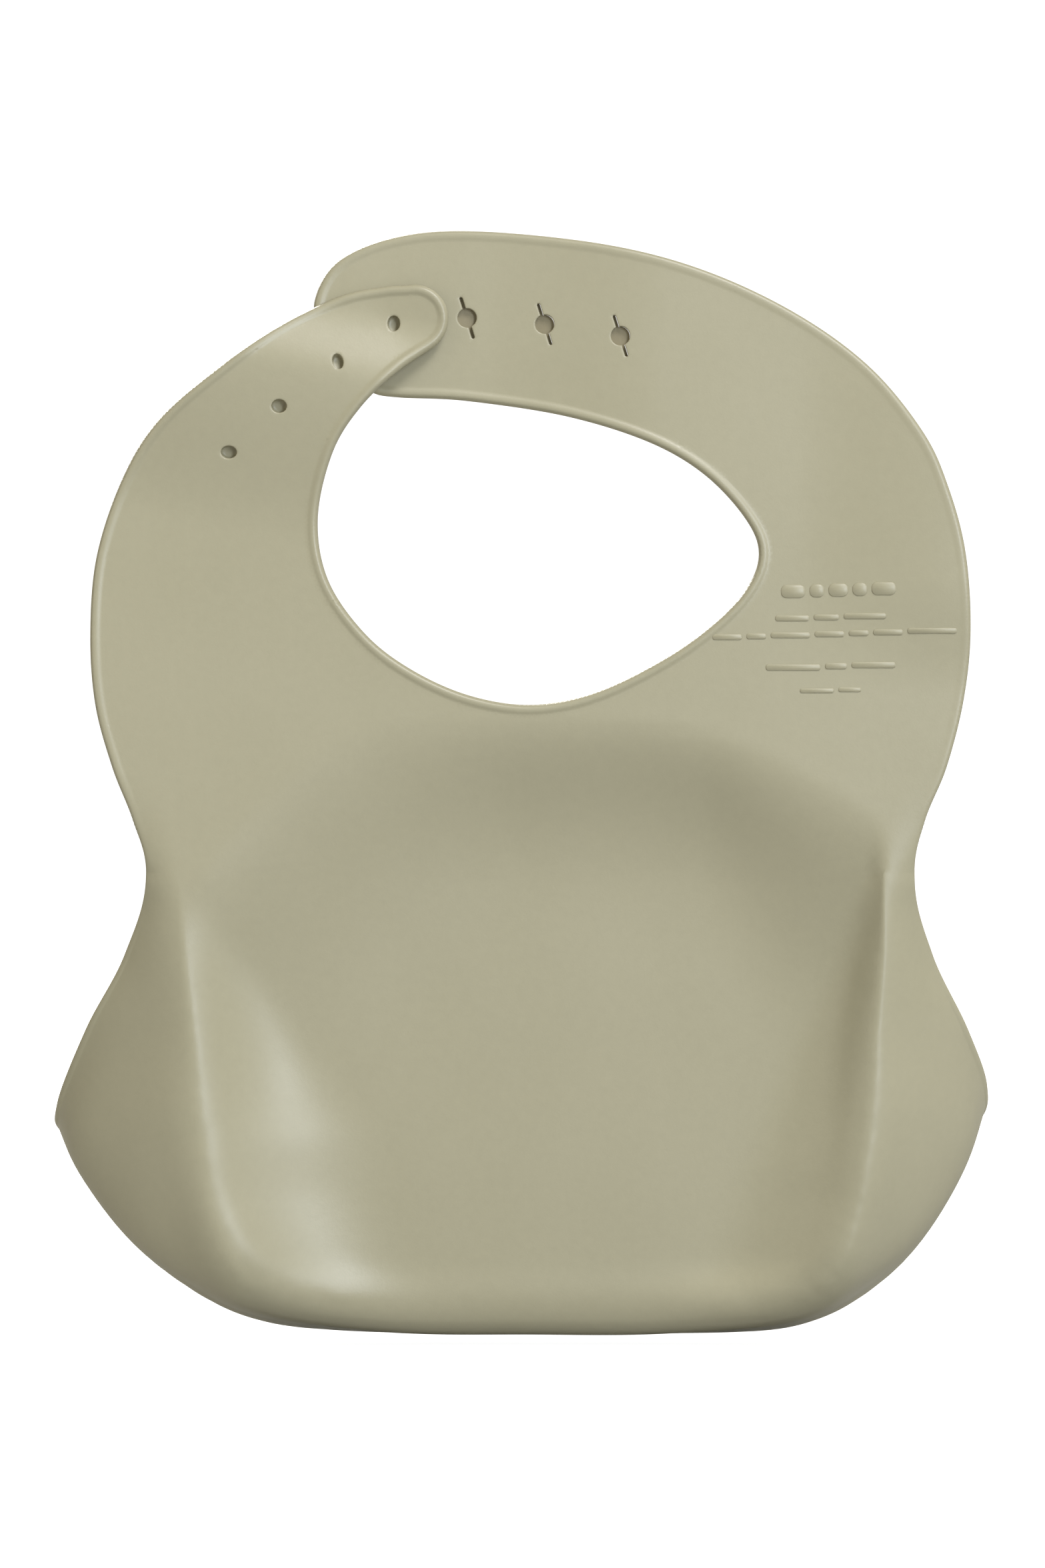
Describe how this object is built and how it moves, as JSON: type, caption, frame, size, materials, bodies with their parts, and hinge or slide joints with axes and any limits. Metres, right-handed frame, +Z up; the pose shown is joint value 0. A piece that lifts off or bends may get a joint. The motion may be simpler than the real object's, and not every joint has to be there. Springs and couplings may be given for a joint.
{
  "type": "silicone baby bib",
  "caption": "Soft one-piece silicone bib with a deep catch pocket and a neck collar closed by mushroom studs in slotted holes.",
  "frame": {"origin": "on the back face of the chest, midway across and between the chest fold and the neck opening", "axes": "+Z up as worn, +Y towards the wearer, -Y the front with the pocket, +X towards the button strap"},
  "size_m": [0.2445, 0.052, 0.2907],
  "materials": {
    "bib_silicone": "satin matte silicone, sage beige"
  },
  "bodies": {
    "collar": {"neck_yoke": "bib_silicone"},
    "button_strap": {"button_strap_root": "bib_silicone", "closure_stud_3": "bib_silicone", "closure_stud_4": "bib_silicone"},
    "button_tip": {"button_strap_tip": "bib_silicone", "closure_stud_1": "bib_silicone", "closure_stud_2": "bib_silicone"},
    "hole_strap": {"hole_strap_root": "bib_silicone"},
    "hole_end": {"hole_strap_end": "bib_silicone"},
    "bib_panel": {"lower_panel": "bib_silicone", "left_pocket_wall": "bib_silicone", "right_pocket_wall": "bib_silicone", "pocket_floor": "bib_silicone"},
    "pocket_front": {"pocket_front_wall": "bib_silicone"}
  },
  "joints": [
    {"name": "button_strap_lift", "type": "hinge", "parent": "collar", "child": "button_strap", "pos_m": [0.0814, 0, 0.0653], "axis": [-0.9798, 0, -0.2], "range_deg": [0, 80], "stiffness_Nm_per_rad": 0.05},
    {"name": "button_strap_curl", "type": "hinge", "parent": "button_strap", "child": "button_tip", "pos_m": [0.058, 0, 0.0953], "axis": [-0.613, 0, -0.7901], "range_deg": [0, 40], "stiffness_Nm_per_rad": 0.03},
    {"name": "hole_strap_flex", "type": "hinge", "parent": "collar", "child": "hole_strap", "pos_m": [-0.0798, -0.002, 0.0718], "axis": [0.9, 0, -0.436], "range_deg": [0, 45], "stiffness_Nm_per_rad": 0.15},
    {"name": "hole_strap_curl", "type": "hinge", "parent": "hole_strap", "child": "hole_end", "pos_m": [-0.037, -0.002, 0.1025], "axis": [0.341, 0, -0.9401], "range_deg": [0, 27], "stiffness_Nm_per_rad": 0.08},
    {"name": "chest_fold", "type": "hinge", "parent": "collar", "child": "bib_panel", "pos_m": [0, -0.001, -0.012], "axis": [-1, 0, 0], "range_deg": [-75, 85], "stiffness_Nm_per_rad": 0.5, "springref_deg": 2.01},
    {"name": "pocket_squeeze", "type": "hinge", "parent": "bib_panel", "child": "pocket_front", "pos_m": [0, -0.037, -0.147], "axis": [-1, 0, 0], "range_deg": [-8, 28], "stiffness_Nm_per_rad": 0.1}
  ],
  "couplings": [
    {"joint": "button_strap_curl", "follows": "button_strap_lift", "ratio": 0.5},
    {"joint": "hole_strap_curl", "follows": "hole_strap_flex", "ratio": 0.6}
  ]
}
